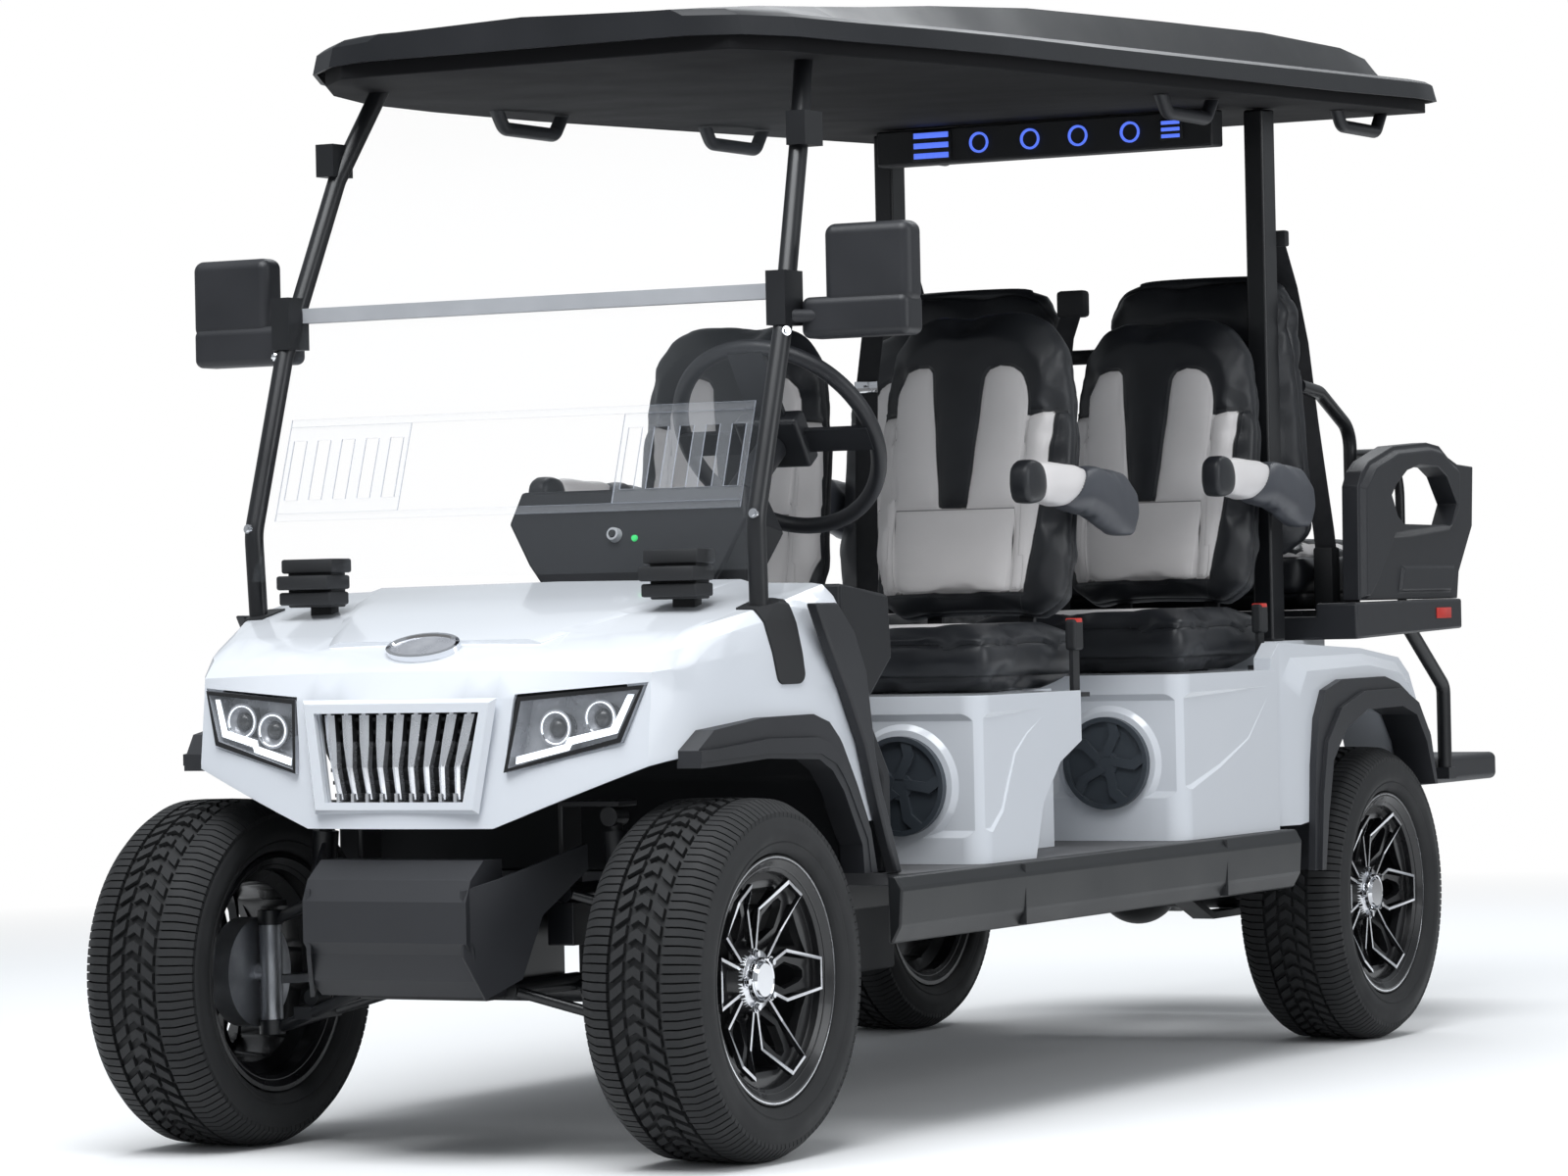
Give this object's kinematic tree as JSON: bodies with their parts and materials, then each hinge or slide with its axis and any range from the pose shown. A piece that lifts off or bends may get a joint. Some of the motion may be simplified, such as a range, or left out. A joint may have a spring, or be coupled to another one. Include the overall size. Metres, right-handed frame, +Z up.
{
  "type": "golf cart",
  "caption": "Electric golf cart with two forward seat rows, a fold-down rear seat, roof, windshield, steered front wheels and lifting armrests.",
  "frame": {"origin": "on the ground, midway along the length, on the middle plane", "axes": "+Z up, front towards -Y, the cart's left side towards +X"},
  "size_m": [1.418, 3.85, 2.0191],
  "materials": {
    "tyre_rubber": "matte",
    "wheel_metal": "machined with black windows",
    "white_body": "gloss paint",
    "black_trim": "grained",
    "frame_black": "satin",
    "steel_grey": "satin",
    "battery_case": "matte",
    "floor_mat": "ribbed mat",
    "rocker_grey": "satin",
    "grille_chrome": "chrome on dark slats",
    "lamp_clear": "clear",
    "lamp_house": "black bezel with chrome lamps",
    "vent_clear": "clear",
    "glass_clear": "clear",
    "glass_grey": "satin strip",
    "roof_grey": "satin",
    "liner_black": "matte",
    "light_bar": "satin with blue lamps",
    "speaker_black": "satin",
    "seat_black": "grained vinyl in black and cream",
    "arm_vinyl": "grained vinyl with a cream band",
    "dash_grey": "grained"
  },
  "bodies": {
    "cart": {"battery_pack": "battery_case", "belt_buckles": "black_trim", "chassis_frame": "frame_black", "cowl_trims": "black_trim", "dashboard": "dash_grey", "floor_pan": "floor_mat", "footrest": "black_trim", "footrest_tubes": "frame_black", "front_body": "white_body", "front_bumper": "black_trim", "front_shocks": "frame_black", "front_suspension": "frame_black", "grille": "grille_chrome", "headlamp_lenses": "lamp_clear", "headlamps": "lamp_house", "overhead_light_bar": "light_bar", "post_covers": "black_trim", "rear_axle": "frame_black", "rear_body": "white_body", "rear_posts": "frame_black", "rear_seat_backs": "seat_black", "rear_seat_frame": "frame_black", "rear_side_arms": "black_trim", "rear_suspension": "steel_grey", "rear_tray": "black_trim", "rockers": "rocker_grey", "roof_handles": "black_trim", "roof_liner": "liner_black", "roof_shell": "roof_grey", "seat_backs": "seat_black", "seat_boxes": "white_body", "seat_brackets": "frame_black", "seat_cushions": "seat_black", "side_mirrors": "black_trim", "speakers": "speaker_black", "steering_column": "black_trim", "wheel_flares": "black_trim", "windshield_glass": "glass_clear", "windshield_hinge_bar": "glass_grey", "windshield_latches": "black_trim", "windshield_posts": "frame_black", "windshield_vents": "vent_clear"},
    "wheel_front_left": {"tyre_front_left": "tyre_rubber", "rim_front_left": "wheel_metal"},
    "wheel_front_right": {"tyre_front_right": "tyre_rubber", "rim_front_right": "wheel_metal"},
    "wheel_rear_left": {"tyre_rear_left": "tyre_rubber", "rim_rear_left": "wheel_metal"},
    "wheel_rear_right": {"tyre_rear_right": "tyre_rubber", "rim_rear_right": "wheel_metal"},
    "knuckle_left_body": {"knuckle_left": "steel_grey"},
    "knuckle_right_body": {"knuckle_right": "steel_grey"},
    "steering_link_body": {"steering_link": "steel_grey"},
    "steering_wheel_body": {"steering_wheel": "black_trim"},
    "rear_seat_flap": {"rear_seat_base": "black_trim", "rear_seat_cushion": "seat_black"},
    "arm_front_left": {"armrest_front_left": "arm_vinyl"},
    "arm_front_right": {"armrest_front_right": "arm_vinyl"},
    "arm_middle_left": {"armrest_middle_left": "arm_vinyl"},
    "arm_middle_right": {"armrest_middle_right": "arm_vinyl"}
  },
  "joints": [
    {"name": "steer_left", "type": "hinge", "parent": "cart", "child": "knuckle_left_body", "pos_m": [0.398, -1.633, 0.292], "axis": [0, 0, 1], "range_deg": [-28, 28]},
    {"name": "steer_right", "type": "hinge", "parent": "cart", "child": "knuckle_right_body", "pos_m": [-0.398, -1.633, 0.292], "axis": [0, 0, 1], "range_deg": [-28, 28]},
    {"name": "steering_link_slide", "type": "slide", "parent": "cart", "child": "steering_link_body", "axis": [1, 0, 0], "range_m": [-0.06, 0.06]},
    {"name": "steering_wheel_turn", "type": "hinge", "parent": "cart", "child": "steering_wheel_body", "pos_m": [0.27, -1.033, 1.18], "axis": [0, 0.8192, 0.5736], "range_deg": [-448, 448]},
    {"name": "spin_front_left", "type": "hinge", "parent": "knuckle_left_body", "child": "wheel_front_left", "pos_m": [0.478, -1.633, 0.292], "axis": [1, 0, 0], "continuous": true},
    {"name": "spin_front_right", "type": "hinge", "parent": "knuckle_right_body", "child": "wheel_front_right", "pos_m": [-0.478, -1.633, 0.292], "axis": [1, 0, 0], "continuous": true},
    {"name": "spin_rear_left", "type": "hinge", "parent": "cart", "child": "wheel_rear_left", "pos_m": [0.511, 0.837, 0.292], "axis": [1, 0, 0], "continuous": true},
    {"name": "spin_rear_right", "type": "hinge", "parent": "cart", "child": "wheel_rear_right", "pos_m": [-0.511, 0.837, 0.292], "axis": [1, 0, 0], "continuous": true},
    {"name": "rear_seat_flip", "type": "hinge", "parent": "cart", "child": "rear_seat_flap", "pos_m": [0, 1.405, 0.8523], "axis": [-1, 0, 0], "range_deg": [0, 180]},
    {"name": "armrest_front_left_lift", "type": "hinge", "parent": "cart", "child": "arm_front_left", "pos_m": [0.5, -0.25367, 1.08386], "axis": [-1, 0, 0], "range_deg": [0, 95]},
    {"name": "armrest_front_right_lift", "type": "hinge", "parent": "cart", "child": "arm_front_right", "pos_m": [-0.5, -0.25367, 1.08386], "axis": [-1, 0, 0], "range_deg": [0, 95]},
    {"name": "armrest_middle_left_lift", "type": "hinge", "parent": "cart", "child": "arm_middle_left", "pos_m": [0.5, 0.57633, 1.10286], "axis": [-1, 0, 0], "range_deg": [0, 95]},
    {"name": "armrest_middle_right_lift", "type": "hinge", "parent": "cart", "child": "arm_middle_right", "pos_m": [-0.5, 0.57633, 1.10286], "axis": [-1, 0, 0], "range_deg": [0, 95]}
  ],
  "couplings": [
    {"joint": "steer_right", "follows": "steer_left", "ratio": 1},
    {"joint": "steering_link_slide", "follows": "steer_left", "m_per_rad": -0.118},
    {"joint": "steering_wheel_turn", "follows": "steer_left", "ratio": 16}
  ]
}
